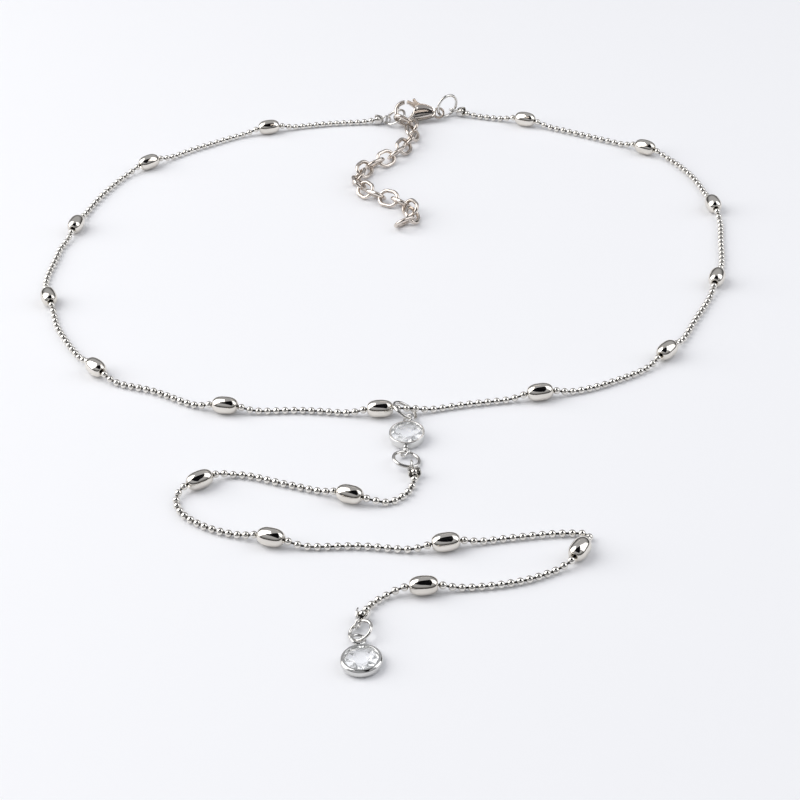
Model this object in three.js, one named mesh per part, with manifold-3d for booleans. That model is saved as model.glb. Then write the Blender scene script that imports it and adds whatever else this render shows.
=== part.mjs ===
// Lariat necklace: a ball chain loop with oval beads, a stone link at its front, a beaded drop
// that ends in a stone charm, and a lobster clasp with an extender chain at the back.
// Millimetres. +X to the wearer's left as it lies, +Y to the clasp, +Z up. It lies on z = 0.
import * as THREE from "three";
import * as BufferGeometryUtils from "three/addons/utils/BufferGeometryUtils.js";
import Module from "manifold-3d";

const wasm = await Module();
wasm.setup();

// Chain and beads
const chainDiameter = 1.1;
const chainSides = 8;
const beadDiameter = 3.1;
const beadLength = 4.4;
const beadClearance = 0.2;
const beadSides = 12;
const stationSpacing = 4.7;
const fallLength = 4.6;
const straightMargin = 0.2;
const tangentShare = 0.36;

// Jump rings
const ringDiameter = 5.0;
const ringWire = 0.6;
const largeRingDiameter = 5.6;
const smallRingDiameter = 4.2;
const smallRingWire = 0.55;
const wireSides = 6;

// Centre link and charm
const linkDiameter = 6.1;
const linkHeight = 1.5;
const linkWall = 0.35;
const charmDiameter = 6.3;
const charmHeight = 1.5;
const charmWall = 0.6;
const seatWidth = 0.45;
const seatHeight = 0.3;
const stoneClearance = 0.12;
const stoneCrown = 0.5;
const eyeDiameter = 2.1;
const eyeWire = 0.45;
const eyeNeck = 0.6;
const charmEyeDiameter = 2.5;
const charmEyeWire = 0.5;

// Chain end caps
const capDiameter = 2.4;
const capWall = 0.25;
const capEyeDiameter = 2.1;
const capEyeWire = 0.4;
const capSides = 12;
const capDip = 6;
const capReach = capDiameter / 2 + capEyeDiameter / 2 - capEyeWire * 0.75;

// Extender
const extenderLinkLength = 5.0;
const extenderLinkWidth = 4.0;
const extenderWire = 0.8;
const extenderLinkCount = 18;
const extenderHeight = 1.55;
const extenderRoll = 45;
const linkingGap = 0.2;
const extenderPitch = extenderLinkLength - 2 * extenderWire - linkingGap;

// Clasp
const claspHookRadius = 2.5;
const claspHookWire = 0.9;
const claspHookThickness = 1.2;
const claspBodyThickness = 2.4;
const claspBodyWidth = 3.8;
const claspEyeX = 9.8;
const claspEyeRadius = 1.3;
const claspEyeHole = 0.8;
const claspSlot = 1.3;
const claspClearance = 0.2;
const claspPinRadius = 0.3;
const claspPinX = 5.7;
const claspPinY = 0.7;

// Routes, chosen by hand: x and y of the chain's middle, a bead's heading in degrees,
// and the height of the chain's middle where something lifts it.
const mainRoute = [
  { at: "end", x: -0.8, y: 85.9, heading: 178 },
  { at: "way", x: -12.4, y: 86.2 },
  { at: "bead", x: -24.6, y: 84.5, heading: 190 },
  { at: "way", x: -38.4, y: 79.0 },
  { at: "bead", x: -49.9, y: 71.2, heading: 215 },
  { at: "way", x: -57.2, y: 62.6 },
  { at: "bead", x: -62.8, y: 45.9, heading: 257 },
  { at: "way", x: -65.4, y: 36.0 },
  { at: "bead", x: -65.1, y: 18.2, heading: 287 },
  { at: "way", x: -61.8, y: 6.7 },
  { at: "bead", x: -53.7, y: -7.2, heading: 308 },
  { at: "way", x: -42.6, y: -14.8 },
  { at: "bead", x: -29.8, y: -21.6, heading: 346 },
  { at: "way", x: -16.4, y: -23.2 },
  { at: "bead", x: -2.9, y: -25.3, heading: 357 },
  { at: "way", x: 2.7, y: -25.6, height: 1.45 },
  { at: "way", x: 12.2, y: -24.2 },
  { at: "bead", x: 24.9, y: -23.0, heading: 7 },
  { at: "way", x: 36.9, y: -20.3 },
  { at: "bead", x: 48.5, y: -12.2, heading: 48 },
  { at: "way", x: 55.5, y: -1.0 },
  { at: "bead", x: 61.3, y: 11.5, heading: 70 },
  { at: "way", x: 64.5, y: 25.8 },
  { at: "bead", x: 65.2, y: 39.5, heading: 97 },
  { at: "way", x: 62.2, y: 55.3 },
  { at: "bead", x: 55.1, y: 65.2, heading: 141 },
  { at: "way", x: 44.4, y: 73.1 },
  { at: "bead", x: 31.2, y: 81.3, heading: 152 },
  { at: "end", x: 17.62, y: 87.5, heading: 150 },
];
const dropRoute = [
  { at: "end", x: 2.25, y: -43.6, heading: 278 },
  { at: "way", x: 1.9, y: -46.3 },
  { at: "way", x: 0.5, y: -48.9 },
  { at: "way", x: -2.5, y: -50.6 },
  { at: "bead", x: -8.4, y: -49.0, heading: 155 },
  { at: "way", x: -19.7, y: -43.8 },
  { at: "way", x: -27.9, y: -40.7 },
  { at: "bead", x: -33.1, y: -42.8, heading: 210 },
  { at: "way", x: -36.8, y: -47.1 },
  { at: "way", x: -32.2, y: -53.9 },
  { at: "bead", x: -21.0, y: -59.0, heading: 338 },
  { at: "way", x: -7.0, y: -61.4 },
  { at: "bead", x: 6.5, y: -62.7, heading: 7 },
  { at: "way", x: 18.2, y: -61.4 },
  { at: "way", x: 26.4, y: -61.2 },
  { at: "way", x: 29.0, y: -62.4 },
  { at: "bead", x: 27.1, y: -66.3, heading: 239 },
  { at: "way", x: 23.3, y: -69.9 },
  { at: "way", x: 15.4, y: -72.5 },
  { at: "bead", x: 2.6, y: -72.9, heading: 180 },
  { at: "way", x: -3.4, y: -73.9 },
  { at: "end", x: -6.82, y: -78.36, heading: 248 },
];
const extenderRoute = [
  { x: 6.2, y: 82.35 },
  { x: 6.8, y: 78.4 },
  { x: 5.4, y: 73.4 },
  { x: 2.9, y: 69.0 },
  { x: -0.3, y: 65.9 },
  { x: -3.2, y: 63.7 },
  { x: -5.1, y: 60.6 },
  { x: -5.5, y: 56.6 },
  { x: -3.9, y: 53.0 },
  { x: -1.3, y: 50.5 },
  { x: 3.1, y: 47.4 },
  { x: 5.4, y: 43.8 },
  { x: 5.0, y: 40.4 },
  { x: 2.6, y: 38.5 },
  { x: -0.4, y: 39.2 },
];
// The extender's first link, which hangs on the left ring.
const firstLink = { x: 4.83, y: 82.98, z: 1.89, yaw: -22.3, pitch: -20.7, roll: -57.8 };

const steel = { color: 0xc9c7c2, metalness: 1.0, roughness: 0.18 };
const castMetal = { color: 0xc4c0bb, metalness: 1.0, roughness: 0.25 };
const clearStone = { color: 0xf3f3f6, metalness: 0.0, roughness: 0.05 };

const necklace = new THREE.Group();
const radians = THREE.MathUtils.degToRad;

function add(name, geometry, look, matrix) {
  const mesh = new THREE.Mesh(geometry, new THREE.MeshStandardMaterial(look));
  mesh.name = name;
  if (matrix) mesh.applyMatrix4(matrix);
  necklace.add(mesh);
  return mesh;
}

function toSolid(geometry) {
  const bare = geometry.clone();
  bare.deleteAttribute("normal");
  bare.deleteAttribute("uv");
  const merged = BufferGeometryUtils.mergeVertices(bare, 1e-4);
  const vertProperties = new Float32Array(merged.attributes.position.array);
  const triVerts = new Uint32Array(merged.index.array);
  return new wasm.Manifold(new wasm.Mesh({ numProp: 3, vertProperties, triVerts }));
}

function toGeometry(solid) {
  const mesh = solid.getMesh();
  const geometry = new THREE.BufferGeometry();
  geometry.setAttribute("position", new THREE.BufferAttribute(mesh.vertProperties, 3));
  geometry.setIndex(new THREE.BufferAttribute(mesh.triVerts, 1));
  geometry.computeVertexNormals();
  return geometry;
}

function join(geometries) {
  return geometries.map(toSolid).reduce((whole, part) => whole.add(part));
}

// Turns by yaw about Z, then tips: pitch raises local +X, roll turns about local +X.
function placed(position, yaw = 0, pitch = 0, roll = 0) {
  const turn = new THREE.Matrix4().makeRotationZ(radians(yaw));
  turn.multiply(new THREE.Matrix4().makeRotationY(radians(-pitch)));
  turn.multiply(new THREE.Matrix4().makeRotationX(radians(roll)));
  return new THREE.Matrix4().makeTranslation(position).multiply(turn);
}

function lathe(profile, sides) {
  const points = profile.map(([radius, height]) => new THREE.Vector2(radius, height));
  return new THREE.LatheGeometry(points, sides);
}

// A lathed shape whose axis is +Z.
function latheUpright(profile, sides) {
  return lathe(profile, sides).rotateX(Math.PI / 2);
}

// A lathed shape whose axis is +X.
function latheAlong(profile, sides) {
  return lathe(profile, sides).rotateZ(-Math.PI / 2);
}

// A closed ring of round wire, lying in its local XY plane.
function wireRing(diameter, wire, segments) {
  return new THREE.TorusGeometry((diameter - wire) / 2, wire / 2, wireSides, segments);
}

// An oval link: a ring whose two halves are drawn apart along X.
function ovalLink(length, width, wire, segments) {
  const geometry = wireRing(width, wire, segments);
  geometry.rotateZ(Math.PI / segments);
  const position = geometry.attributes.position;
  for (let i = 0; i < position.count; i += 1) {
    const x = position.getX(i);
    position.setX(i, x + (Math.sign(x) * (length - width)) / 2);
  }
  return geometry;
}

// A route worked out as stations: the tube has one step from each station to the next.
class StationPath extends THREE.Curve {
  constructor(stations) {
    super();
    this.stations = stations;
  }

  getPoint(t, target = new THREE.Vector3()) {
    const place = t * (this.stations.length - 1);
    const index = Math.min(Math.floor(place), this.stations.length - 2);
    return target.lerpVectors(this.stations[index], this.stations[index + 1], place - index);
  }

  getPointAt(u, target) {
    return this.getPoint(u, target);
  }

  getTangentAt(u, target) {
    return this.getTangent(u, target);
  }
}

const laidHeight = chainDiameter / 2;
const capHeight = Math.max(capDiameter / 2, capEyeDiameter / 2 + capReach * Math.sin(radians(capDip)));
const beadReach = beadLength / 2 + straightMargin;

function restHeight(row) {
  if (row.at === "bead") return beadDiameter / 2;
  if (row.at === "end") return capHeight;
  return row.height ?? laidHeight;
}

function headingOf(rows, index) {
  const row = rows[index];
  if (row.heading !== undefined) {
    const angle = radians(row.heading);
    return new THREE.Vector2(Math.cos(angle), Math.sin(angle));
  }
  const before = rows[index - 1];
  const after = rows[index + 1];
  return new THREE.Vector2(after.x - before.x, after.y - before.y).normalize();
}

// Straight through each bead, and between rows a cubic that keeps both headings.
// The chain falls from a lifted place to the surface within fallLength.
function routeStations(rows) {
  const stations = [];
  for (let index = 0; index < rows.length - 1; index += 1) {
    const [rowA, rowB] = [rows[index], rows[index + 1]];
    const [headingA, headingB] = [headingOf(rows, index), headingOf(rows, index + 1)];
    const start = new THREE.Vector2(rowA.x, rowA.y);
    const end = new THREE.Vector2(rowB.x, rowB.y);
    if (rowA.at === "bead") start.addScaledVector(headingA, beadReach);
    if (rowB.at === "bead") end.addScaledVector(headingB, -beadReach);
    const span = start.distanceTo(end);
    const handleA = start.clone().addScaledVector(headingA, span * tangentShare);
    const handleB = end.clone().addScaledVector(headingB, -span * tangentShare);
    const curve = new THREE.CubicBezierCurve(start, handleA, handleB, end);
    const steps = Math.max(1, Math.round(span / stationSpacing));
    const firstStep = index === 0 || rowA.at === "bead" ? 0 : 1;
    for (let step = firstStep; step <= steps; step += 1) {
      const share = step / steps;
      const point = curve.getPointAt(share);
      const liftA = restHeight(rowA) - laidHeight;
      const liftB = restHeight(rowB) - laidHeight;
      const fallA = Math.max(0, 1 - (share * span) / fallLength) ** 2;
      const fallB = Math.max(0, 1 - ((1 - share) * span) / fallLength) ** 2;
      const isShort = span < fallLength;
      const lift = isShort ? liftA * (1 - share) + liftB * share : Math.max(liftA * fallA, liftB * fallB);
      stations.push(new THREE.Vector3(point.x, point.y, laidHeight + lift));
    }
  }
  return stations;
}

function chainTube(rows) {
  const stations = routeStations(rows);
  const section = new THREE.Shape();
  for (let side = 0; side < chainSides; side += 1) {
    const angle = ((side + 0.5) / chainSides) * 2 * Math.PI;
    const x = (chainDiameter / 2) * Math.cos(angle);
    const y = (chainDiameter / 2) * Math.sin(angle);
    if (side === 0) section.moveTo(x, y);
    else section.lineTo(x, y);
  }
  const extrudePath = new StationPath(stations);
  return new THREE.ExtrudeGeometry(section, { steps: stations.length - 1, extrudePath });
}

// Barrel bead: rows of radius and place along the bead, as shares of its half sizes.
const beadSections = [
  { radius: 0.66, along: -1.0 },
  { radius: 0.9, along: -0.7 },
  { radius: 1.0, along: -0.3 },
  { radius: 1.0, along: 0.3 },
  { radius: 0.9, along: 0.7 },
  { radius: 0.66, along: 1.0 },
];

function beadGeometry() {
  const boreRadius = chainDiameter / 2 + beadClearance;
  const [halfLength, halfDiameter] = [beadLength / 2, beadDiameter / 2];
  const outline = beadSections.map((row) => [row.radius * halfDiameter, row.along * halfLength]);
  const mouth = [boreRadius, -halfLength];
  const profile = [mouth, ...outline, [boreRadius, halfLength], mouth];
  return latheAlong(profile, beadSides);
}

function addBeads(rows, prefix, digits) {
  const beads = rows.filter((row) => row.at === "bead");
  beads.forEach((row, index) => {
    const position = new THREE.Vector3(row.x, row.y, beadDiameter / 2);
    const number = String(index + 1).padStart(digits, "0");
    add(`${prefix}${number}`, beadGeometry(), steel, placed(position, row.heading));
  });
}

// A round setting with an inner seat, its underside at z = 0.
function settingBand(diameter, height, wall) {
  const outer = diameter / 2;
  const inner = outer - wall;
  const seat = inner - seatWidth;
  const profile = [
    [seat, 0],
    [outer, 0],
    [outer, height],
    [inner, height],
    [inner, seatHeight],
    [seat, seatHeight],
    [seat, 0],
  ];
  return latheUpright(profile, 24);
}

// A round brilliant-like stone that lies on the seat: flat table, girdle and a low pavilion.
function stoneGeometry(diameter, height, wall) {
  const girdle = diameter / 2 - wall - stoneClearance;
  const girdleBase = seatHeight + 2 * stoneClearance;
  const girdleTop = girdleBase + (height - stoneCrown - girdleBase) * 0.5;
  const seat = diameter / 2 - wall - seatWidth;
  const profile = [
    [0, seatHeight / 2],
    [seat * 0.5, seatHeight / 2],
    [girdle, girdleBase],
    [girdle, girdleTop],
    [girdle * 0.62, height],
    [0, height],
  ];
  return latheUpright(profile, 16);
}

// An eye soldered to a setting, on its local +X side, with the short neck that carries it.
// It is rolled about the local X axis.
function settingEye(diameter, wire, settingRadius, height, reach, roll) {
  const eye = wireRing(diameter, wire, 12);
  eye.rotateX(radians(roll)).translate(reach, 0, height / 2);
  const neckStart = settingRadius - linkWall / 2;
  const neckEnd = reach - diameter / 2 + wire * 0.6;
  const neck = new THREE.BoxGeometry(neckEnd - neckStart, eyeNeck, wire);
  neck.translate((neckStart + neckEnd) / 2, 0, height / 2);
  return [eye, neck];
}

const linkYaw = 84.2;
const linkPitch = 3.5;
const linkRise = 0.11;
const linkTopReach = 4.5;
const linkBottomReach = 4.7;
const topEyeRoll = -25;
const bottomEyeRoll = 40;
const linkLift = (linkDiameter / 2) * Math.sin(radians(linkPitch)) + linkRise;
const linkPlace = placed(new THREE.Vector3(1.45, -32.8, linkLift), linkYaw, linkPitch);

function addCentreLink() {
  const radius = linkDiameter / 2;
  const topEye = settingEye(eyeDiameter, eyeWire, radius, linkHeight, linkTopReach, topEyeRoll);
  const bottomEye = settingEye(eyeDiameter, eyeWire, radius, linkHeight, linkBottomReach, bottomEyeRoll);
  bottomEye.forEach((piece) => piece.rotateZ(Math.PI));
  const band = settingBand(linkDiameter, linkHeight, linkWall);
  add("link_setting", toGeometry(join([band, ...topEye, ...bottomEye])), steel, linkPlace);
  add("link_stone", stoneGeometry(linkDiameter, linkHeight, linkWall), clearStone, linkPlace);
}

const charmYaw = 95;
const charmReach = 4.7;
const charmEyeRoll = 15;
const charmPlace = placed(new THREE.Vector3(-7.15, -88.1, 0), charmYaw);

function addCharm() {
  const radius = charmDiameter / 2;
  const eye = settingEye(charmEyeDiameter, charmEyeWire, radius, charmHeight, charmReach, charmEyeRoll);
  const band = settingBand(charmDiameter, charmHeight, charmWall);
  add("charm_setting", toGeometry(join([band, ...eye])), steel, charmPlace);
  add("charm_stone", stoneGeometry(charmDiameter, charmHeight, charmWall), clearStone, charmPlace);
}

// Jump rings: roll tips the ring about its local X axis after it is turned by yaw.
function addRing(name, centre, yaw, pitch, roll, diameter = ringDiameter, wire = ringWire) {
  add(name, wireRing(diameter, wire, 18), steel, placed(centre, yaw, pitch, roll));
}

// Rows of the rings: the middle of each, and how it is turned and tipped.
const topRing = { x: 1.37, y: -26.35, z: 1.56, yaw: -8.06, pitch: -33.36, roll: -10.4 };
const bottomRing = { x: 1.1, y: -39.61, z: 0.94, yaw: 3.05, pitch: -13.79, roll: -2.41 };
const charmRing = { x: -7.19, y: -81.9, z: 1.11, yaw: 13.97, pitch: 26.01, roll: -0.36 };
const leftRing = { x: 3.11, y: 85.6, z: 1.64, yaw: 0.0, pitch: 24.2, roll: 8.2 };
const rightRing = { x: 14.59, y: 87.29, z: 2.81, yaw: 33.5, pitch: 0.1, roll: 95.0 };

function addRings() {
  const spot = (row) => new THREE.Vector3(row.x, row.y, row.z);
  addRing("top_ring", spot(topRing), topRing.yaw, topRing.pitch, topRing.roll);
  addRing("bottom_ring", spot(bottomRing), bottomRing.yaw, bottomRing.pitch, bottomRing.roll);
  const small = [smallRingDiameter, smallRingWire];
  addRing("charm_ring", spot(charmRing), charmRing.yaw, charmRing.pitch, charmRing.roll, ...small);
  addRing("left_ring", spot(leftRing), leftRing.yaw, leftRing.pitch, leftRing.roll);
  addRing("right_ring", spot(rightRing), rightRing.yaw, rightRing.pitch, rightRing.roll, largeRingDiameter);
}

// A cup that holds the chain's last ball, open towards local -X, with an eye on its +X side.
function addCap(name, route, isStart, eyeRoll) {
  const row = isStart ? route[0] : route[route.length - 1];
  const outer = capDiameter / 2;
  const inner = outer - capWall;
  const profile = [
    [inner, -outer * 0.55],
    [outer * 0.96, -outer * 0.55],
    [outer, 0],
    [outer * 0.72, outer * 0.75],
    [0, outer],
    [0, outer - capWall],
    [inner * 0.7, inner * 0.68],
    [inner, 0],
    [inner, -outer * 0.55],
  ];
  const bowl = latheAlong(profile, capSides);
  const eye = wireRing(capEyeDiameter, capEyeWire, 12);
  eye.rotateX(radians(eyeRoll)).translate(capReach, 0, 0);
  const yaw = isStart ? row.heading + 180 : row.heading;
  const centre = new THREE.Vector3(row.x, row.y, capHeight);
  add(name, toGeometry(join([bowl, eye])), steel, placed(centre, yaw, -capDip));
}

// The first link hangs on its ring. The others go from joint to joint of their route, each
// rolled the other way to its neighbour.
function addExtender() {
  const points = extenderRoute.map((row) => new THREE.Vector3(row.x, row.y, extenderHeight));
  const curve = new THREE.CatmullRomCurve3(points);
  const length = curve.getLength();
  for (let index = 0; index < extenderLinkCount; index += 1) {
    const start = curve.getPointAt(Math.max(0, (extenderPitch * (index - 1)) / length));
    const end = curve.getPointAt(Math.min(1, (extenderPitch * index) / length));
    const centre = start.clone().add(end).multiplyScalar(0.5);
    const yaw = THREE.MathUtils.radToDeg(Math.atan2(end.y - start.y, end.x - start.x));
    const roll = index % 2 === 0 ? -extenderRoll : extenderRoll;
    const first = new THREE.Vector3(firstLink.x, firstLink.y, firstLink.z);
    const hung = placed(first, firstLink.yaw, firstLink.pitch, firstLink.roll);
    const geometry = ovalLink(extenderLinkLength, extenderLinkWidth, extenderWire, 12);
    const number = String(index + 1).padStart(2, "0");
    const place = index === 0 ? hung : placed(centre, yaw, 0, roll);
    add(`extender_link_${number}`, geometry, castMetal, place);
  }
}

function plate(shape, thickness, curveSegments = 6) {
  const settings = { depth: thickness, bevelEnabled: false, curveSegments };
  const geometry = new THREE.ExtrudeGeometry(shape, settings);
  return geometry.translate(0, 0, -thickness / 2);
}

// The clasp in its own plane: the hook at x = 0 to 5, the eye at the far end, the lever on +Y.
function hookShape(outer, wire, centreX) {
  const inner = outer - wire;
  const tip = radians(97);
  const root = radians(312);
  const shape = new THREE.Shape();
  shape.absarc(centreX, 0, outer, tip, root, false);
  shape.lineTo(centreX + inner * Math.cos(root), inner * Math.sin(root));
  shape.absarc(centreX, 0, inner, root, tip, true);
  shape.closePath();
  return shape;
}

function bodyShape(hookCentreX, outer, wire) {
  const half = claspBodyWidth / 2;
  const inner = outer - wire;
  const root = radians(300);
  const neckHalf = claspEyeRadius * 0.75;
  const shape = new THREE.Shape();
  shape.moveTo(hookCentreX + inner * Math.cos(root), inner * Math.sin(root));
  shape.lineTo(hookCentreX + outer * Math.cos(root), outer * Math.sin(root));
  shape.quadraticCurveTo(claspPinX, -half * 1.1, claspEyeX - claspEyeRadius, -neckHalf);
  shape.lineTo(claspEyeX - claspEyeRadius * 0.5, -neckHalf * 0.6);
  shape.lineTo(claspEyeX - claspEyeRadius * 0.5, neckHalf * 0.6);
  shape.lineTo(claspEyeX - claspEyeRadius, neckHalf);
  shape.quadraticCurveTo(claspPinX + 1.2, half, claspPinX - 0.4, half * 0.92);
  shape.lineTo(claspPinX - 1.1, half * 0.62);
  shape.lineTo(hookCentreX + inner * 1.06, 0);
  shape.closePath();
  return shape;
}

function claspEye() {
  const shape = new THREE.Shape();
  shape.absarc(claspEyeX, 0, claspEyeRadius, 0, 2 * Math.PI, false);
  const hole = new THREE.Path();
  hole.absarc(claspEyeX, 0, claspEyeHole, 0, 2 * Math.PI, true);
  shape.holes.push(hole);
  return plate(shape, claspHookThickness * 0.6, 16);
}

const leverThickness = claspSlot - 2 * claspClearance;
const leverBossRadius = 0.95;

function leverShape(hookCentreX) {
  const outer = claspHookRadius;
  const inner = outer - claspHookWire * 0.85;
  const near = radians(50);
  const far = radians(86);
  const shape = new THREE.Shape();
  shape.moveTo(claspPinX, claspPinY - leverBossRadius);
  shape.absarc(claspPinX, claspPinY, leverBossRadius, radians(-90), radians(60), false);
  shape.lineTo(claspPinX - 0.7, claspPinY + 1.55);
  shape.lineTo(claspPinX - 1.35, claspPinY + 2.35);
  shape.lineTo(claspPinX - 1.9, claspPinY + 2.0);
  shape.lineTo(hookCentreX + outer * Math.cos(near), outer * Math.sin(near) + 0.05);
  shape.absarc(hookCentreX, 0, outer, near, far, false);
  shape.lineTo(hookCentreX + inner * Math.cos(far), inner * Math.sin(far));
  shape.absarc(hookCentreX, 0, inner, far, near, true);
  shape.closePath();
  return shape;
}

const claspHook = new THREE.Vector3(5.4, 86.29, 2.55);
const claspYaw = -1.5;
const claspPitch = -6.2;
const claspRoll = 45.4;
const claspPlace = placed(claspHook, claspYaw, claspPitch, claspRoll);
claspPlace.multiply(new THREE.Matrix4().makeTranslation(-claspHookRadius, 0, 0));

function addClasp() {
  const hookCentreX = claspHookRadius;
  const hook = plate(hookShape(claspHookRadius, claspHookWire, hookCentreX), claspHookThickness, 12);
  const block = plate(bodyShape(hookCentreX, claspHookRadius, claspHookWire), claspBodyThickness, 4);
  const slot = new THREE.BoxGeometry(5.0, 4.6, claspSlot);
  slot.translate(claspPinX - 0.7, claspPinY + 2.3 - leverBossRadius - claspClearance, 0);
  const pin = new THREE.CylinderGeometry(claspPinRadius, claspPinRadius, claspBodyThickness - 0.2, 10);
  pin.rotateX(Math.PI / 2).translate(claspPinX, claspPinY, 0);
  const slotted = toSolid(block).subtract(toSolid(slot));
  const body = slotted.add(toSolid(hook)).add(toSolid(claspEye())).add(toSolid(pin));
  add("clasp_body", toGeometry(body), castMetal, claspPlace);

  const bore = new THREE.CylinderGeometry(
    claspPinRadius + claspClearance,
    claspPinRadius + claspClearance,
    claspBodyThickness,
    10,
  );
  bore.rotateX(Math.PI / 2).translate(claspPinX, claspPinY, 0);
  const lever = toSolid(plate(leverShape(hookCentreX), leverThickness, 5)).subtract(toSolid(bore));
  add("clasp_lever", toGeometry(lever), castMetal, claspPlace);
}

add("main_chain", chainTube(mainRoute), steel);
add("drop_chain", chainTube(dropRoute), steel);
addBeads(mainRoute, "main_bead_", 2);
addBeads(dropRoute, "drop_bead_", 1);
addCentreLink();
addCharm();
addRings();
addCap("left_cap", mainRoute, true, 90);
addCap("right_cap", mainRoute, false, 44);
addCap("start_cap", dropRoute, true, 90);
addCap("end_cap", dropRoute, false, 90);
addExtender();
addClasp();

export default necklace;
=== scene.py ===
import math

import bmesh
import bpy
import numpy as np
from mathutils import Matrix, Vector


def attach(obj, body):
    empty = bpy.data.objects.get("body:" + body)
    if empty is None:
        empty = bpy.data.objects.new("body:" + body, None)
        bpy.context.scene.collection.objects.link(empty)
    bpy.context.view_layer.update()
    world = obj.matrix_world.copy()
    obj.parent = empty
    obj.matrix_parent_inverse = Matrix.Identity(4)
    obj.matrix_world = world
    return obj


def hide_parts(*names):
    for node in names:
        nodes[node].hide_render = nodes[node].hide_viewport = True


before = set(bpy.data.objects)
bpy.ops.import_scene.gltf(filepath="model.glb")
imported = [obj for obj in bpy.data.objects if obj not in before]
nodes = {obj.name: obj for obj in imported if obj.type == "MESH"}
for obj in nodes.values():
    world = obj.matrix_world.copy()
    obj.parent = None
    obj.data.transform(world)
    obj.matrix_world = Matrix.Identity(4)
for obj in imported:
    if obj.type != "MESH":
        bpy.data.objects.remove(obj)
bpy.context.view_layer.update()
MM = 0.001

# The camera stands in front of the drop and looks down at about 35 degrees.
CAMERA_PLACE = Vector((0.6, -300.0, 193.17)) * MM
CAMERA_DIP = math.radians(34.68)
CAMERA_ROLL = math.radians(-3.25)
FOCAL_PIXELS = 1945.5
FRAME_PIXELS = 800

camera_data = bpy.data.cameras.new("camera")
camera_data.sensor_width = 36.0
camera_data.lens = 36.0 * FOCAL_PIXELS / FRAME_PIXELS
camera_data.clip_start = 0.01
camera_data.clip_end = 10.0
camera = bpy.data.objects.new("camera", camera_data)
bpy.context.scene.collection.objects.link(camera)
forward = Vector((0, math.cos(CAMERA_DIP), -math.sin(CAMERA_DIP)))
upward = Vector((0, math.sin(CAMERA_DIP), math.cos(CAMERA_DIP)))
right = Vector((1, 0, 0))
turn_c, turn_s = math.cos(CAMERA_ROLL), math.sin(CAMERA_ROLL)
camera_x = right * turn_c + upward * turn_s
camera_y = upward * turn_c - right * turn_s
camera_matrix = Matrix((camera_x, camera_y, -forward)).transposed().to_4x4()
camera.matrix_world = Matrix.Translation(CAMERA_PLACE) @ camera_matrix
bpy.context.scene.camera = camera


# Materials
def new_material(name):
    material = bpy.data.materials.new(name)
    material.use_nodes = True
    tree = material.node_tree
    shader = tree.nodes["Principled BSDF"]
    return material, tree, shader


def metal(name, color, dark, roughness, scale, bump):
    """Polished silver-coloured metal: faint clouding of its gloss and tone, and fine handling marks."""
    material, tree, shader = new_material(name)
    links = tree.links
    shader.inputs["Metallic"].default_value = 1.0
    where = tree.nodes.new("ShaderNodeTexCoord")
    cloud = tree.nodes.new("ShaderNodeTexNoise")
    cloud.inputs["Scale"].default_value = scale
    cloud.inputs["Detail"].default_value = 4.0
    links.new(where.outputs["Object"], cloud.inputs["Vector"])
    tone = tree.nodes.new("ShaderNodeMix")
    tone.data_type = "RGBA"
    tone.inputs["A"].default_value = (*dark, 1)
    tone.inputs["B"].default_value = (*color, 1)
    spread = tree.nodes.new("ShaderNodeMapRange")
    spread.inputs["From Min"].default_value = 0.3
    spread.inputs["From Max"].default_value = 0.6
    links.new(cloud.outputs["Fac"], spread.inputs["Value"])
    links.new(spread.outputs["Result"], tone.inputs["Factor"])
    links.new(tone.outputs["Result"], shader.inputs["Base Color"])
    gloss = tree.nodes.new("ShaderNodeMapRange")
    gloss.inputs["From Min"].default_value = 0.3
    gloss.inputs["From Max"].default_value = 0.7
    gloss.inputs["To Min"].default_value = roughness * 0.7
    gloss.inputs["To Max"].default_value = roughness * 1.4
    links.new(cloud.outputs["Fac"], gloss.inputs["Value"])
    links.new(gloss.outputs["Result"], shader.inputs["Roughness"])
    marks = tree.nodes.new("ShaderNodeTexNoise")
    marks.inputs["Scale"].default_value = scale * 9
    marks.inputs["Detail"].default_value = 6.0
    links.new(where.outputs["Object"], marks.inputs["Vector"])
    relief = tree.nodes.new("ShaderNodeBump")
    relief.inputs["Strength"].default_value = bump
    relief.inputs["Distance"].default_value = 0.00002
    links.new(marks.outputs["Fac"], relief.inputs["Height"])
    links.new(relief.outputs["Normal"], shader.inputs["Normal"])
    return material


def clear_stone(name):
    material, tree, shader = new_material(name)
    shader.inputs["Base Color"].default_value = (0.985, 0.99, 1.0, 1)
    shader.inputs["Transmission Weight"].default_value = 1.0
    # The stone's faint glow is painted light, standing in for light that passes through the clear stone.
    shader.inputs["Emission Color"].default_value = (0.95, 0.97, 1.0, 1)
    shader.inputs["Emission Strength"].default_value = 0.06
    shader.inputs["IOR"].default_value = 1.52
    where = tree.nodes.new("ShaderNodeTexCoord")
    wear = tree.nodes.new("ShaderNodeTexNoise")
    wear.inputs["Scale"].default_value = 900.0
    gloss = tree.nodes.new("ShaderNodeMapRange")
    gloss.inputs["To Min"].default_value = 0.0
    gloss.inputs["To Max"].default_value = 0.03
    tree.links.new(where.outputs["Object"], wear.inputs["Vector"])
    tree.links.new(wear.outputs["Fac"], gloss.inputs["Value"])
    tree.links.new(gloss.outputs["Result"], shader.inputs["Roughness"])
    return material


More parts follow.
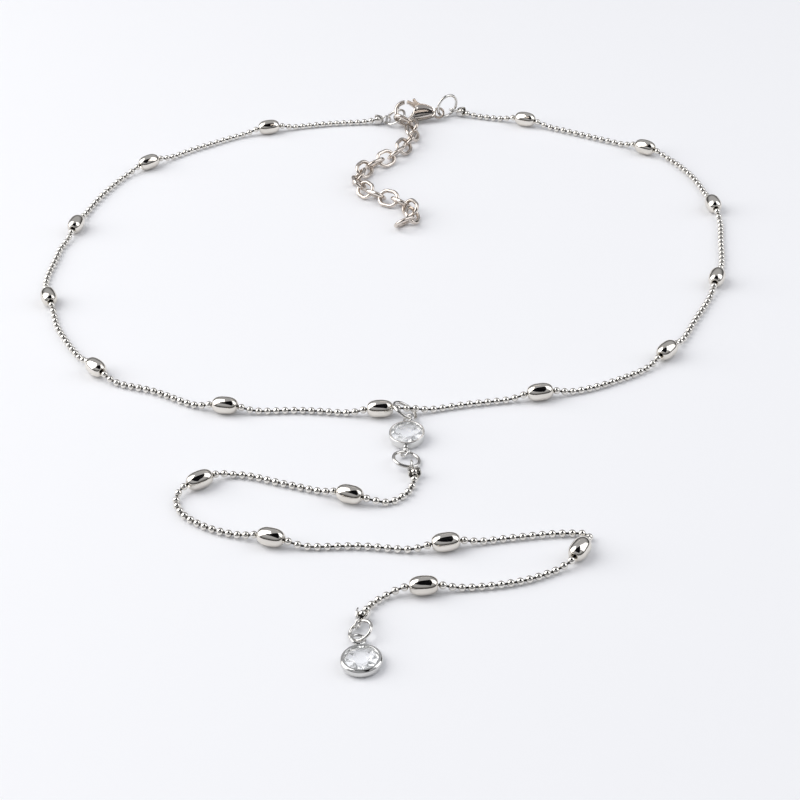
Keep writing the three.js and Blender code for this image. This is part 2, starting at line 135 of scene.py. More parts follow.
bead_metal = metal("bead_metal", (0.80, 0.765, 0.71), (0.72, 0.685, 0.63), 0.06, 160.0, 0.04)
chain_metal = metal("chain_metal", (0.86, 0.835, 0.79), (0.74, 0.715, 0.67), 0.06, 500.0, 0.04)
# Near-black material for the chain's wire and the faces round each ball's wire holes: painted shade in the
# gaps between the balls.
painted_gap_shade = metal("painted_gap_shade", (0.09, 0.083, 0.077), (0.035, 0.032, 0.03), 0.30, 700.0, 0.05)
fitting_metal = metal("fitting_metal", (0.76, 0.745, 0.72), (0.62, 0.605, 0.58), 0.05, 300.0, 0.03)
setting_metal = metal("setting_metal", (0.78, 0.775, 0.76), (0.66, 0.655, 0.64), 0.04, 200.0, 0.03)
extender_metal = metal("extender_metal", (0.78, 0.715, 0.655), (0.50, 0.45, 0.41), 0.14, 350.0, 0.08)
clasp_metal = metal("clasp_metal", (0.70, 0.65, 0.605), (0.56, 0.515, 0.475), 0.12, 250.0, 0.08)
stone_glass = clear_stone("stone_glass")


# Helpers that make meshes, in millimetres
def place(x, y, z, yaw=0.0, pitch=0.0, roll=0.0):
    """Millimetres and degrees: pitch raises local +X, roll turns about local +X."""
    matrix = Matrix.Translation((x, y, z))
    matrix @= Matrix.Rotation(math.radians(yaw), 4, "Z")
    matrix @= Matrix.Rotation(math.radians(-pitch), 4, "Y")
    matrix @= Matrix.Rotation(math.radians(roll), 4, "X")
    return matrix


def moved(part, matrix):
    verts, faces = part
    m = np.array(matrix)
    return verts @ m[:3, :3].T + m[:3, 3], faces


def joined(parts):
    verts, faces, start = [], [], 0
    for part_verts, part_faces in parts:
        verts.append(part_verts)
        faces.extend([tuple(i + start for i in face) for face in part_faces])
        start += len(part_verts)
    return np.concatenate(verts), faces


def grid_faces(rows, columns, close_rows, close_columns):
    faces = []
    for i in range(rows if close_rows else rows - 1):
        for j in range(columns if close_columns else columns - 1):
            a, b = i, (i + 1) % rows
            c, d = j, (j + 1) % columns
            faces.append((a * columns + c, a * columns + d, b * columns + d, b * columns + c))
    return faces


def lathe(profile, sides):
    """A closed profile of radius and height turned about +Z."""
    profile = np.array(profile, float)
    angle = np.arange(sides) * 2 * math.pi / sides
    radius = profile[:, 0][None, :]
    verts = np.stack(
        [
            radius * np.cos(angle)[:, None],
            radius * np.sin(angle)[:, None],
            np.repeat(profile[:, 1][None, :], sides, 0),
        ],
        -1,
    ).reshape(-1, 3)
    return verts, grid_faces(sides, len(profile), True, True)


def rounded(corners, radius, steps=4):
    """A closed outline with each corner rounded. Each corner is x, y or x, y, its own radius."""
    count = len(corners)
    outline = []
    for i, corner in enumerate(corners):
        own = corner[2] if len(corner) > 2 else radius
        p = Vector(corner[:2])
        a = Vector(corners[i - 1][:2]) - p
        b = Vector(corners[(i + 1) % count][:2]) - p
        reach = min(own, a.length * 0.49, b.length * 0.49)
        if reach <= 0:
            outline.append((p.x, p.y))
            continue
        start, end = p + a.normalized() * reach, p + b.normalized() * reach
        for k in range(steps + 1):
            t = k / steps
            q = start * (1 - t) ** 2 + p * 2 * t * (1 - t) + end * t**2
            outline.append((q.x, q.y))
    return outline


def ring(major, minor, segments=96, sides=20):
    angle = np.arange(segments) * 2 * math.pi / segments
    around = np.arange(sides) * 2 * math.pi / sides
    radius = major + minor * np.cos(around)[None, :]
    verts = np.stack(
        [
            radius * np.cos(angle)[:, None],
            radius * np.sin(angle)[:, None],
            np.repeat(minor * np.sin(around)[None, :], segments, 0),
        ],
        -1,
    ).reshape(-1, 3)
    return verts, grid_faces(segments, sides, True, True)


def tube(points, radius, sides, closed=False):
    """A round tube along points, capped at its ends unless it closes."""
    points = np.array(points, float)
    count = len(points)
    if closed:
        tangents = np.roll(points, -1, 0) - np.roll(points, 1, 0)
    else:
        tangents = np.gradient(points, axis=0)
    tangents /= np.linalg.norm(tangents, axis=1)[:, None]
    side = np.cross(tangents[0], (0.0, 0.0, 1.0))
    if np.linalg.norm(side) < 0.1:
        side = np.cross(tangents[0], (1.0, 0.0, 0.0))
    rings = []
    for i in range(count):
        side = side - tangents[i] * np.dot(side, tangents[i])
        side /= np.linalg.norm(side)
        other = np.cross(tangents[i], side)
        for k in range(sides):
            a = 2 * math.pi * k / sides
            rings.append(points[i] + radius * (math.cos(a) * side + math.sin(a) * other))
    faces = grid_faces(count, sides, closed, True)
    if not closed:
        faces.append(tuple(range(sides))[::-1])
        faces.append(tuple(range((count - 1) * sides, count * sides)))
    return np.array(rings), faces


BALL_RADIUS = 0.63
BALL_SEGMENTS = 20
BALL_ROWS = 14
MOUTH_ROWS = 2


def ball_mouths():
    """Which of a ball's faces, in their order, lie round the two holes where the wire enters; these faces
    take painted shade.
    """
    middle_rows = BALL_ROWS - 2
    marks = [True] * BALL_SEGMENTS
    for i in range(middle_rows):
        is_mouth = i < MOUTH_ROWS - 1 or i >= middle_rows - (MOUTH_ROWS - 1)
        marks += [is_mouth] * BALL_SEGMENTS
    return marks + [True] * BALL_SEGMENTS


def ball():
    segments, rows, radius = BALL_SEGMENTS, BALL_ROWS, BALL_RADIUS
    verts = [(0, 0, radius)]
    for i in range(1, rows):
        tilt = math.pi * i / rows
        for j in range(segments):
            a = 2 * math.pi * j / segments
            around = radius * math.sin(tilt)
            verts.append((around * math.cos(a), around * math.sin(a), radius * math.cos(tilt)))
    verts.append((0, 0, -radius))
    faces = []
    for j in range(segments):
        faces.append((0, 1 + j, 1 + (j + 1) % segments))
    for i in range(rows - 2):
        for j in range(segments):
            a, b = 1 + i * segments, 1 + (i + 1) * segments
            k = (j + 1) % segments
            faces.append((a + j, b + j, b + k, a + k))
    last, base = len(verts) - 1, 1 + (rows - 2) * segments
    for j in range(segments):
        faces.append((last, base + (j + 1) % segments, base + j))
    return np.array(verts), faces


def piece(name, part, material, stands_for, smooth=True):
    """A mesh object in metres from a part in millimetres. It rides on the necklace and stands for a node."""
    verts, faces = part
    mesh = bpy.data.meshes.new(name)
    mesh.from_pydata((verts * MM).tolist(), [], faces)
    tidy = bmesh.new()
    tidy.from_mesh(mesh)
    bmesh.ops.recalc_face_normals(tidy, faces=tidy.faces)
    tidy.to_mesh(mesh)
    tidy.free()
    mesh.polygons.foreach_set("use_smooth", [smooth] * len(mesh.polygons))
    mesh.materials.append(material)
    made = bpy.data.objects.new(name, mesh)
    bpy.context.scene.collection.objects.link(made)
    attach(made, "necklace")
    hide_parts(stands_for)
    return made


def node_axes(name):
    """The middle of a CAD node in millimetres, its axes from longest to shortest, and its size along each."""
    co = np.array([v.co for v in nodes[name].data.vertices]) / MM
    co = np.unique(np.round(co, 4), axis=0)
    spread = co - co.mean(0)
    _, vectors = np.linalg.eigh(spread.T @ spread)
    axes = vectors[:, ::-1].T
    if np.dot(np.cross(axes[0], axes[1]), axes[2]) < 0:
        axes[2] = -axes[2]
    reach = spread @ axes.T
    size = reach.max(0) - reach.min(0)
    middle = co.mean(0) + ((reach.max(0) + reach.min(0)) / 2) @ axes
    return middle, axes, size


def node_matrix(middle, axes):
    matrix = Matrix.Identity(4)
    for row in range(3):
        for column in range(3):
            matrix[row][column] = axes[column][row]
        matrix[row][3] = middle[row]
    return matrix


# Ball chain: round balls on a thin wire, with beads at given places along the route
CHAIN_RADIUS = BALL_RADIUS
BALL_PITCH = 1.55
WIRE_RADIUS = 0.17
WIRE_SIDES = 8
WIRE_STEP = 0.5
AIM_REACH = 0.4
ROUTE_STEPS = 60
BEAD_LENGTH = 4.4
BEAD_RADIUS = 1.55
BEAD_REACH = BEAD_LENGTH / 2 + 0.2
CAP_HEIGHT = 1.254
FALL_LENGTH = 4.6
TANGENT_SHARE = 0.36
CAP_ENTRY = 0.75

main_route = [
    ("end", -0.8, 85.9, 178, None),
    ("way", -12.4, 86.2, None, None),
    ("bead", -24.6, 84.5, 190, None),
    ("way", -38.4, 79.0, None, None),
    ("bead", -49.9, 71.2, 215, None),
    ("way", -57.2, 62.6, None, None),
    ("bead", -62.8, 45.9, 257, None),
    ("way", -65.4, 36.0, None, None),
    ("bead", -65.1, 18.2, 287, None),
    ("way", -61.8, 6.7, None, None),
    ("bead", -53.7, -7.2, 308, None),
    ("way", -42.6, -14.8, None, None),
    ("bead", -29.8, -21.6, 346, None),
    ("way", -16.4, -23.2, None, None),
    ("bead", -2.9, -25.3, 357, None),
    ("way", 2.7, -25.6, None, 1.45),
    ("way", 12.2, -24.2, None, None),
    ("bead", 24.9, -23.0, 7, None),
    ("way", 36.9, -20.3, None, None),
    ("bead", 48.5, -12.2, 48, None),
    ("way", 55.5, -1.0, None, None),
    ("bead", 61.3, 11.5, 70, None),
    ("way", 64.5, 25.8, None, None),
    ("bead", 65.2, 39.5, 97, None),
    ("way", 62.2, 55.3, None, None),
    ("bead", 55.1, 65.2, 141, None),
    ("way", 44.4, 73.1, None, None),
    ("bead", 31.2, 81.3, 152, None),
    ("end", 17.62, 87.5, 150, None),
]
drop_route = [
    ("end", 2.25, -43.6, 278, None),
    ("way", 1.9, -46.3, None, None),
    ("way", 0.5, -48.9, None, None),
    ("way", -2.5, -50.6, None, None),
    ("bead", -8.4, -49.0, 155, None),
    ("way", -19.7, -43.8, None, None),
    ("way", -27.9, -40.7, None, None),
    ("bead", -33.1, -42.8, 210, None),
    ("way", -36.8, -47.1, None, None),
    ("way", -32.2, -53.9, None, None),
    ("bead", -21.0, -59.0, 338, None),
    ("way", -7.0, -61.4, None, None),
    ("bead", 6.5, -62.7, 7, None),
    ("way", 18.2, -61.4, None, None),
    ("way", 26.4, -61.2, None, None),
    ("way", 29.0, -62.4, None, None),
    ("bead", 27.1, -66.3, 239, None),
    ("way", 23.3, -69.9, None, None),
    ("way", 15.4, -72.5, None, None),
    ("bead", 2.6, -72.9, 180, None),
    ("way", -3.4, -73.9, None, None),
    ("end", -6.82, -78.36, 248, None),
]


def rest_height(row):
    kind, _, _, _, height = row
    if kind == "bead":
        return BEAD_RADIUS
    if kind == "end":
        return CAP_HEIGHT
    return CHAIN_RADIUS if height is None else height


def heading_of(rows, i):
    heading = rows[i][3]
    if heading is not None:
        return np.array((math.cos(math.radians(heading)), math.sin(math.radians(heading))))
    step = np.array(rows[i + 1][1:3], float) - np.array(rows[i - 1][1:3], float)
    return step / np.linalg.norm(step)


def stretches(rows):
    """The chain's middle from bead to bead, as one dense line a stretch, with a bead's middle at its ends."""
    made, line = [], []
    for i in range(len(rows) - 1):
        a, b = rows[i], rows[i + 1]
        ha, hb = heading_of(rows, i), heading_of(rows, i + 1)
        start, end = np.array(a[1:3], float), np.array(b[1:3], float)
        if a[0] == "bead":
            line = [np.array((*start, BEAD_RADIUS))]
            start = start + ha * BEAD_REACH
        if b[0] == "bead":
            end = end - hb * BEAD_REACH
        span = np.linalg.norm(end - start)
        t = np.linspace(0, 1, ROUTE_STEPS)[:, None]
        c1, c2 = start + ha * span * TANGENT_SHARE, end - hb * span * TANGENT_SHARE
        flat = (1 - t) ** 3 * start + 3 * t * (1 - t) ** 2 * c1 + 3 * t**2 * (1 - t) * c2 + t**3 * end
        run = np.concatenate([[0], np.cumsum(np.linalg.norm(np.diff(flat, axis=0), axis=1))])
        share = run / run[-1]
        lift_a, lift_b = rest_height(a) - CHAIN_RADIUS, rest_height(b) - CHAIN_RADIUS
        if span < FALL_LENGTH:
            lift = lift_a * (1 - share) + lift_b * share
        else:
            fall_a = np.clip(1 - share * span / FALL_LENGTH, 0, None) ** 2
            fall_b = np.clip(1 - (1 - share) * span / FALL_LENGTH, 0, None) ** 2
            lift = np.maximum(lift_a * fall_a, lift_b * fall_b)
        solid = np.column_stack([flat, CHAIN_RADIUS + lift])
        line.extend(solid[1:] if line and a[0] != "bead" else solid)
        if b[0] == "bead":
            line.append(np.array((*b[1:3], BEAD_RADIUS)))
        if b[0] in ("bead", "end"):
            made.append((np.array(line), a_kind_of(rows, i), b[0]))
            line = []
    return made


def a_kind_of(rows, i):
    while rows[i][0] == "way":
        i -= 1
    return rows[i][0]


def along(line, distances):
    run = np.concatenate([[0], np.cumsum(np.linalg.norm(np.diff(line, axis=0), axis=1))])
    return np.column_stack([np.interp(distances, run, line[:, k]) for k in range(3)]), run[-1]


def ball_chain(name, rows, node):
    balls, wires = [], []
    for line, start_kind, end_kind in stretches(rows):
        _, total = along(line, [0])
        first = BEAD_LENGTH / 2 if start_kind == "bead" else -CAP_ENTRY
        last = total - (BEAD_LENGTH / 2 if end_kind == "bead" else -CAP_ENTRY)
        count = round((last - first) / BALL_PITCH)
        places = first + (np.arange(count) + 0.5) * (last - first) / count
        places = np.clip(places, 0, total)
        centres, _ = along(line, places)
        ahead, _ = along(line, np.clip(places + AIM_REACH, 0, total))
        behind, _ = along(line, np.clip(places - AIM_REACH, 0, total))
        for centre, way in zip(centres, ahead - behind):
            turn = Vector((0, 0, 1)).rotation_difference(Vector(way)).to_matrix().to_4x4()
            balls.append(moved(ball(), Matrix.Translation(centre) @ turn))
        steps = max(2, round(total / WIRE_STEP))
        wire, _ = along(line, np.linspace(0, total, steps))
        wires.append(tube(wire, WIRE_RADIUS, WIRE_SIDES))
    made = piece(name, joined(balls + wires), chain_metal, node)
    made.data.materials.append(painted_gap_shade)
    per_ball = len(balls[0][1])
    # The wire and the faces round the wire holes get the near-black material: painted shade between the
    # balls.
    dark = [is_mouth for _, faces in balls for is_mouth in ball_mouths()]
    dark += [True] * (len(made.data.polygons) - per_ball * len(balls))
    made.data.polygons.foreach_set("material_index", [int(value) for value in dark])


ball_chain("main_ball_chain", main_route, "main_chain")
ball_chain("drop_ball_chain", drop_route, "drop_chain")

# Barrel beads threaded on the chain
BEAD_FULLNESS = 2.5
BEAD_MOUTH = 0.62
BEAD_BORE = 0.42


def bead_part():
    half = BEAD_LENGTH / 2
    rim = BEAD_MOUTH + 0.12
    reach = half / (1 - (rim / BEAD_RADIUS) ** BEAD_FULLNESS) ** (1 / BEAD_FULLNESS)
    side = []
    for x in half * np.sin(np.linspace(-1, 1, 41) * math.pi / 2):
        side.append((BEAD_RADIUS * (1 - (abs(x) / reach) ** BEAD_FULLNESS) ** (1 / BEAD_FULLNESS), x))
    lip = [(BEAD_MOUTH, half + 0.0), (BEAD_MOUTH - 0.08, half - 0.06), (BEAD_BORE, half - 0.3)]
    profile = side + lip + [(r, -x) for r, x in reversed(lip)]
    verts, faces = lathe(profile, 64)
    return moved((verts, faces), Matrix.Rotation(math.radians(90), 4, "Y"))


for node_name in sorted(nodes):
    if "_bead_" not in node_name:
        continue
    middle, axes, _ = node_axes(node_name)
    made = moved(bead_part(), node_matrix(middle, axes))
    piece("smooth_" + node_name, made, bead_metal, node_name)

# Round jump rings and the oval links of the extender
RING_WIRE = {"top_ring": 0.6, "bottom_ring": 0.6, "charm_ring": 0.55, "left_ring": 0.6, "right_ring": 0.6}
EXTENDER_WIRE = 0.8

for node_name, wire in RING_WIRE.items():
    middle, axes, size = node_axes(node_name)
    made = moved(ring((size[0] + size[1]) / 4 - wire / 2, wire / 2), node_matrix(middle, axes))
    piece("round_" + node_name, made, fitting_metal, node_name)


def oval(length, width, wire, steps=72):
    half = (length - width) / 2
    bend = (width - wire) / 2
    points = []
    for i in range(steps):
        a = 2 * math.pi * (i + 0.5) / steps
        points.append((bend * math.cos(a) + math.copysign(half, math.cos(a)), bend * math.sin(a), 0))
    return tube(points, wire / 2, 16, closed=True)


for node_name in sorted(nodes):
    if not node_name.startswith("extender_link_"):
        continue
    middle, axes, size = node_axes(node_name)
    made = moved(oval(size[0], size[1], EXTENDER_WIRE), node_matrix(middle, axes))
    piece("round_" + node_name, made, extender_metal, node_name)

# Folded caps at the chain ends
CAP_RADIUS = 1.2
CAP_WALL = 0.25
CAP_EYE_RADIUS = 0.85
CAP_EYE_WIRE = 0.4
CAP_REACH = 1.95
CAP_DIP = 6
CAP_OPENING = 120


def cap_part(eye_roll):
    """A folded shell round the chain's last ball, open along its top, with an eye at its closed end."""
    inner = CAP_RADIUS - CAP_WALL
    mouth = CAP_RADIUS * 0.55
    outline = [(CAP_RADIUS * 0.94, -mouth, 0.1), (CAP_RADIUS, 0, 0.5)]
    outline += [(CAP_RADIUS * 0.74, CAP_RADIUS * 0.8, 0.5), (0.35, CAP_RADIUS, 0.2)]
    outline += [(0.3, CAP_RADIUS - CAP_WALL, 0.05), (inner * 0.72, inner * 0.74, 0.4)]
    outline += [(inner, 0, 0.4), (inner * 0.97, -mouth, 0.1)]
    profile = rounded(outline, 0.1)
    steps = 40
    start, end = math.radians(90 + CAP_OPENING / 2), math.radians(450 - CAP_OPENING / 2)
    verts = []
    for i in range(steps + 1):
        a = start + (end - start) * i / steps
        verts.extend((x, r * math.cos(a), r * math.sin(a)) for r, x in profile)
    count = len(profile)
    faces = grid_faces(steps + 1, count, False, True)
    faces.append(tuple(range(count))[::-1])
    faces.append(tuple(range(steps * count, (steps + 1) * count)))
    eye = moved(ring(CAP_EYE_RADIUS, CAP_EYE_WIRE / 2, 48, 16), place(CAP_REACH, 0, 0, roll=eye_roll))
    return joined([(np.array(verts), faces), eye])


caps = [
    ("left_cap", main_route[0], True, 90),
    ("right_cap", main_route[-1], False, 44),
    ("start_cap", drop_route[0], True, 90),
    ("end_cap", drop_route[-1], False, 90),
]
for node_name, row, is_start, eye_roll in caps:
    yaw = row[3] + (180 if is_start else 0)
    made = moved(cap_part(eye_roll), place(row[1], row[2], CAP_HEIGHT, yaw, -CAP_DIP))
    piece("round_" + node_name, made, fitting_metal, node_name)

# The two round settings and their stones
CUP_HEIGHT = 1.5
LINK_RADIUS = 3.05
LINK_WALL = 0.35
LINK_EYE = 2.1
LINK_EYE_WIRE = 0.45
LINK_PITCH = 3.5
LINK_RISE = 0.11
CHARM_RADIUS = 3.15
CHARM_WALL = 0.6
CHARM_EYE = 2.5
CHARM_EYE_WIRE = 0.5
LINK_LIFT = LINK_RADIUS * math.sin(math.radians(LINK_PITCH)) + LINK_RISE
LINK_PLACE = place(1.45, -32.8, LINK_LIFT, 84.2, LINK_PITCH)
CHARM_PLACE = place(-7.15, -88.1, 0.0, 95)
SEAT_HEIGHT = 0.3
SEAT_WIDTH = 0.45
STONE_GAP = 0.06
STONE_CROWN = 0.5
GIRDLE_HEIGHT = 0.12
TABLE_SHARE = 0.56
NECK_SIDES = 20
NECK_ROWS = 9


def eye_part(diameter, wire, setting_radius, reach, roll):
    """A loop soldered to a setting by a neck that swells at both its ends."""
    middle = CUP_HEIGHT / 2
    eye = moved(ring((diameter - wire) / 2, wire / 2, 64, 18), place(reach, 0, middle, roll=roll))
    start, end = setting_radius - 0.12, reach - diameter / 2 + wire * 0.45
    neck = []
    for i in range(NECK_ROWS):
        t = i / (NECK_ROWS - 1)
        swell = 0.20 + 0.16 * (2 * t - 1) ** 2
        neck.append((start + (end - start) * t, swell))
    angle = np.arange(NECK_SIDES) * 2 * math.pi / NECK_SIDES
    verts = [(x, 1.35 * r * math.cos(a), 0.8 * r * math.sin(a) + middle) for x, r in neck for a in angle]
    faces = grid_faces(NECK_ROWS, NECK_SIDES, False, True)
    faces.append(tuple(range(NECK_SIDES))[::-1])
    faces.append(tuple(range((NECK_ROWS - 1) * NECK_SIDES, NECK_ROWS * NECK_SIDES)))
    return [eye, (np.array(verts), faces)]


def stone_part(girdle):
    """A round stone with few large facets: a wide table, a low crown, a girdle and a nearly flat back."""
    bottom = SEAT_HEIGHT / 2
    girdle_top = CUP_HEIGHT - STONE_CROWN
    girdle_base = girdle_top - GIRDLE_HEIGHT
    verts, faces = [], []

    def circle(count, radius, z, shift=0.0):
        first = len(verts)
        for k in range(count):
            a = 2 * math.pi * (k + shift) / count
            verts.append((radius * math.cos(a), radius * math.sin(a), z))
        return first

    table = circle(8, girdle * TABLE_SHARE, CUP_HEIGHT)
    top = circle(16, girdle, girdle_top)
    base = circle(16, girdle, girdle_base)
    lower = circle(8, girdle * 0.80, bottom + 0.2, 0.5)
    culet = circle(8, girdle * 0.34, bottom)
    faces.append(tuple(table + k for k in range(8)))
    for k in range(8):
        n = (k + 1) % 8
        faces.append((table + k, top + 2 * k, top + 2 * k + 1))
        faces.append((table + k, top + 2 * k + 1, table + n))
        faces.append((table + n, top + 2 * k + 1, top + (2 * k + 2) % 16))
        faces.append((base + 2 * k, lower + k, base + 2 * k + 1))
        faces.append((base + 2 * k + 1, lower + k, base + (2 * k + 2) % 16))
        faces.append((base + 2 * k, lower + (k - 1) % 8, culet + k, lower + k))
        faces.append((lower + k, culet + k, culet + n))
    for k in range(16):
        n = (k + 1) % 16
        faces.append((top + k, base + k, base + n, top + n))
    faces.append(tuple(culet + k for k in range(8))[::-1])
    return np.array(verts), faces


def setting_part(profile, eyes):
    return joined([lathe(rounded(profile, 0.1, 6), 128)] + eyes)


def straight_cup(outer, wall):
    """A thin upright wall round a seat."""
    inner, height = outer - wall, CUP_HEIGHT
    seat = inner - SEAT_WIDTH
    side = [(outer - 0.12, 0.0, 0.12), (outer, height * 0.45, 0.4)]
    lip = [(outer - 0.02, height, 0.12), (inner, height, 0.1)]
    return [(seat, 0.0, 0.05)] + side + lip + [(inner, SEAT_HEIGHT, 0.05), (seat, SEAT_HEIGHT, 0.05)]


def bulged_cup(outer, wall):
    """A thick wall with a bevelled shoulder over a rounded side."""
    inner, height = outer - wall, CUP_HEIGHT
    seat = inner - SEAT_WIDTH
    side = [(outer - 0.35, 0.0, 0.3), (outer, height * 0.34, 0.4), (outer, height - 0.28, 0.12)]
    lip = [(outer - 0.25, height, 0.1), (inner + 0.02, height, 0.06), (inner, height - 0.1, 0.05)]
    return [(seat, 0.0, 0.05)] + side + lip + [(inner, SEAT_HEIGHT, 0.05), (seat, SEAT_HEIGHT, 0.05)]


def show_light_through(stone):
    """Clear stones cast no shadow on the floor under their open settings."""
    stone.visible_shadow = False
    stone.visible_diffuse = False


link_eyes = eye_part(LINK_EYE, LINK_EYE_WIRE, LINK_RADIUS, 4.5, -25)
far_eye = eye_part(LINK_EYE, LINK_EYE_WIRE, LINK_RADIUS, 4.7, 40)
link_eyes += [moved(part, Matrix.Rotation(math.pi, 4, "Z")) for part in far_eye]
link_setting = moved(setting_part(straight_cup(LINK_RADIUS, LINK_WALL), link_eyes), LINK_PLACE)
piece("link_cup", link_setting, setting_metal, "link_setting")
link_stone = moved(stone_part(LINK_RADIUS - LINK_WALL - STONE_GAP), LINK_PLACE)
link_brilliant = piece("link_brilliant", link_stone, stone_glass, "link_stone", smooth=False)
show_light_through(link_brilliant)

charm_eye = eye_part(CHARM_EYE, CHARM_EYE_WIRE, CHARM_RADIUS, 4.7, 15)
charm_setting = moved(setting_part(bulged_cup(CHARM_RADIUS, CHARM_WALL), charm_eye), CHARM_PLACE)
piece("charm_cup", charm_setting, setting_metal, "charm_setting")
charm_stone = moved(stone_part(CHARM_RADIUS - CHARM_WALL - STONE_GAP), CHARM_PLACE)
charm_brilliant = piece("charm_brilliant", charm_stone, stone_glass, "charm_stone", smooth=False)
show_light_through(charm_brilliant)

# Lobster clasp
CLASP_PLACE = place(5.4, 86.29, 2.55, -1.5, -6.2, 45.4) @ Matrix.Translation((-2.5, 0, 0))
CLASP_SLOT_SIDE = 0.66
CLASP_HALF = 1.2
HOOK_CENTRE = 2.5
HOOK_PATH = 2.05
HOOK_HALF = 0.45
SLICE = 0.2
VOXEL = 0.07
MELT_PASSES = 14


def smooth_step(value, low_edge, high_edge):
    t = np.clip((value - low_edge) / (high_edge - low_edge), 0, 1)
    return t * t * (3 - 2 * t)


def crowned(points):
    """The clasp body's flat faces bent to a pillow: full height along its middle, thin at its edges."""
    matrix = np.array(CLASP_PLACE)
    local = (points - matrix[:3, 3]) @ matrix[:3, :3]
    x, y, z = local.T
    edges = np.arange(x.min(), x.max() + SLICE, SLICE)
    slot = np.clip(np.digitize(x, edges) - 1, 0, len(edges) - 1)
    top = np.array([y[slot == i].max() if (slot == i).any() else 0 for i in range(len(edges))])
    base = np.array([y[slot == i].min() if (slot == i).any() else 0 for i in range(len(edges))])
    centres = edges + SLICE / 2
    upper, lower = np.interp(x, centres, top), np.interp(x, centres, base)
    across = np.clip(np.abs(2 * y - upper - lower) / np.maximum(upper - lower, 0.1), 0, 1)
    body = smooth_step(x, 3.9, 4.9) * (1 - smooth_step(x, 8.2, 9.0))
    long_way = np.clip((x - 6.3) / 3.0, -1, 1)
    domed = CLASP_HALF * np.sqrt(1 - across**2) * (1 - 0.3 * long_way**2)
    share = np.clip((domed - CLASP_SLOT_SIDE) / (CLASP_HALF - CLASP_SLOT_SIDE), 0.05, 1)
    share = 1 - body * (1 - share)
    depth = np.abs(z)
    bent = np.where(depth > CLASP_SLOT_SIDE, CLASP_SLOT_SIDE + (depth - CLASP_SLOT_SIDE) * share, depth)
    off_wire = np.clip((np.hypot(x - HOOK_CENTRE, y) - HOOK_PATH) / HOOK_HALF, -1, 1)
    hook = 1 - smooth_step(x, 3.6, 4.6)
    bent = bent * (1 - hook * (1 - np.sqrt(1 - 0.8 * off_wire**2)))
    local = np.column_stack([x, y, np.sign(z) * bent])
    return local @ matrix[:3, :3].T + matrix[:3, 3]


def cast_piece(name, node_name, body, crown=False):
    """The clasp's solid with its edges melted round, as a cast piece is after polishing."""
    source = nodes[node_name]
    mesh = source.data.copy()
    made = bpy.data.objects.new(name, mesh)
    bpy.context.scene.collection.objects.link(made)
    mesh.materials.clear()
    tidy = bmesh.new()
    tidy.from_mesh(mesh)
    bmesh.ops.remove_doubles(tidy, verts=tidy.verts, dist=1e-7)
    tidy.to_mesh(mesh)
    tidy.free()
    mesh.transform(Matrix.Scale(1 / MM, 4))
    remesh = made.modifiers.new("remesh", "REMESH")
    remesh.mode = "VOXEL"
    remesh.voxel_size = VOXEL
    smooth = made.modifiers.new("smooth", "SMOOTH")
    smooth.factor = 0.5
    smooth.iterations = MELT_PASSES
    graph = bpy.context.evaluated_depsgraph_get()
    result = bpy.data.meshes.new_from_object(made.evaluated_get(graph))
    made.modifiers.clear()
    made.data = result
    if crown:
        co = np.array([v.co for v in result.vertices])
        co = crowned(co)
        result.vertices.foreach_set("co", co.reshape(-1))
    result.transform(Matrix.Scale(MM, 4))
    result.materials.clear()
    result.materials.append(clasp_metal)
    result.polygons.foreach_set("use_smooth", [True] * len(result.polygons))
    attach(made, body)
    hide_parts(node_name)


cast_piece("cast_clasp_body", "clasp_body", "necklace", crown=True)
cast_piece("cast_clasp_lever", "clasp_lever", "clasp_lever")

# Pale floor
floor_mesh = bpy.data.meshes.new("floor")
floor_mesh.from_pydata([(-3, -3, 0), (3, -3, 0), (3, 3, 0), (-3, 3, 0)], [], [(0, 1, 2, 3)])
floor = bpy.data.objects.new("floor", floor_mesh)
bpy.context.scene.collection.objects.link(floor)
floor.location.z = -0.00002
floor_material, _, floor_shader = new_material("floor")
floor_shader.inputs["Base Color"].default_value = (0.90, 0.905, 0.93, 1)
floor_shader.inputs["Roughness"].default_value = 0.6
floor_mesh.materials.append(floor_material)


# Soft light
def area_light(name, place_m, target, size_x, size_y, power, color=(1, 1, 1)):
    data = bpy.data.lights.new(name, "AREA")
    data.shape = "RECTANGLE"
    data.size, data.size_y = size_x, size_y
    data.energy = power
    data.color = color
    lamp = bpy.data.objects.new(name, data)
    bpy.context.scene.collection.objects.link(lamp)
    lamp.location = place_m
    lamp.rotation_euler = (Vector(target) - Vector(place_m)).to_track_quat("-Z", "Y").to_euler()
    return lamp


area_light("left_window", (-0.58, 0.10, 0.50), (0, 0, 0), 0.74, 1.05, 6.2, (1.0, 0.99, 0.975))
area_light("right_window", (0.60, 0.02, 0.48), (0, 0, 0), 0.56, 0.85, 2.1, (0.97, 0.98, 1.0))


def seen_in_metal(name, verts, faces):
    """A studio surface that shows only as a reflection."""
    mesh = bpy.data.meshes.new(name)
    mesh.from_pydata(verts, [], faces)
    made = bpy.data.objects.new(name, mesh)
    bpy.context.scene.collection.objects.link(made)
    material, _, shader = new_material(name)
    mesh.materials.append(material)
    made.visible_camera = False
    made.visible_diffuse = False
    made.visible_shadow = False
    made.visible_transmission = False
    return shader


# A dark wedge is bent over the object from its front and points left.
SCREEN_RADIUS = 0.62
SCREEN_LEFT = -0.36
SCREEN_RIGHT = 0.34
SCREEN_RISE = 66
SCREEN_SPREAD = 40
SCREEN_STEPS = 24
SCREEN_ROWS = 9

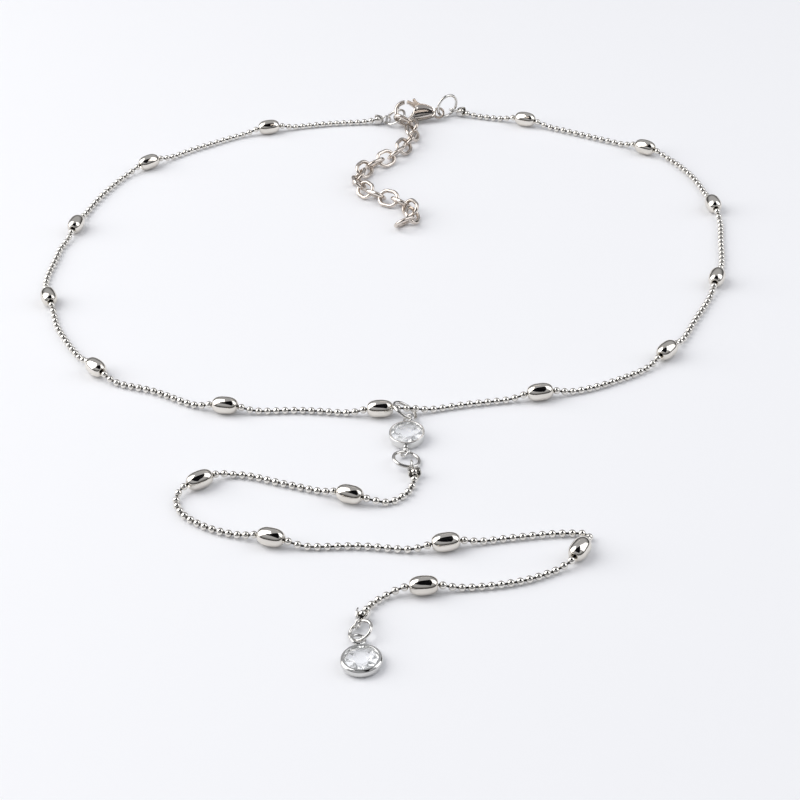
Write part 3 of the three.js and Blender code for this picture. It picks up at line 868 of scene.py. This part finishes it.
screen_verts = []
for i in range(SCREEN_STEPS + 1):
    t = i / SCREEN_STEPS
    x = SCREEN_LEFT + (SCREEN_RIGHT - SCREEN_LEFT) * t
    reach = math.sqrt(SCREEN_RADIUS**2 - x**2)
    half = SCREEN_SPREAD * (0.05 + 0.95 * t**0.7) * min(1.0, (1.04 - t) * 6)
    for k in range(SCREEN_ROWS):
        a = math.radians(SCREEN_RISE + half * (2 * k / (SCREEN_ROWS - 1) - 1))
        screen_verts.append((x, -reach * math.cos(a), reach * math.sin(a)))
screen_faces = grid_faces(SCREEN_STEPS + 1, SCREEN_ROWS, False, False)
screen_shader = seen_in_metal("dark_screen", screen_verts, screen_faces)
screen_shader.inputs["Base Color"].default_value = (0.004, 0.004, 0.005, 1)
screen_shader.inputs["Roughness"].default_value = 1.0
screen_shader.inputs["Specular IOR Level"].default_value = 0.0

# Two small warm reflectors hang over the clasp.
REFLECTOR_LEFT = -0.004
REFLECTOR_RIGHT = 0.034
REFLECTOR_EDGES = [(0.033, 0.0705), (0.042, 0.074), (0.050, 0.077), (0.058, 0.080)]

reflector_verts = [(x, y, z) for y, z in REFLECTOR_EDGES for x in (REFLECTOR_LEFT, REFLECTOR_RIGHT)]
reflector_faces = [(0, 1, 3, 2), (4, 5, 7, 6)]
reflector_shader = seen_in_metal("reflector", reflector_verts, reflector_faces)
reflector_shader.inputs["Base Color"].default_value = (0.0, 0.0, 0.0, 1)
reflector_shader.inputs["Emission Color"].default_value = (1.0, 0.90, 0.83, 1)
reflector_shader.inputs["Emission Strength"].default_value = 1.45

# The surroundings are dark along the horizon and pale above.
world = bpy.data.worlds.new("studio")
bpy.context.scene.world = world
world.use_nodes = True
tree = world.node_tree
background = tree.nodes["Background"]
where = tree.nodes.new("ShaderNodeTexCoord")
split = tree.nodes.new("ShaderNodeSeparateXYZ")
tree.links.new(where.outputs["Generated"], split.inputs["Vector"])
rise = tree.nodes.new("ShaderNodeValToRGB")
rise.color_ramp.elements[0].position = 0.10
rise.color_ramp.elements[0].color = (0.05, 0.045, 0.04, 1)
rise.color_ramp.elements[1].position = 0.5
rise.color_ramp.elements[1].color = (0.80, 0.81, 0.84, 1)
tree.links.new(split.outputs["Z"], rise.inputs["Fac"])
tree.links.new(rise.outputs["Color"], background.inputs["Color"])
background.inputs["Strength"].default_value = 0.56

bpy.context.scene.view_settings.view_transform = "Standard"
bpy.context.scene.view_settings.look = "None"
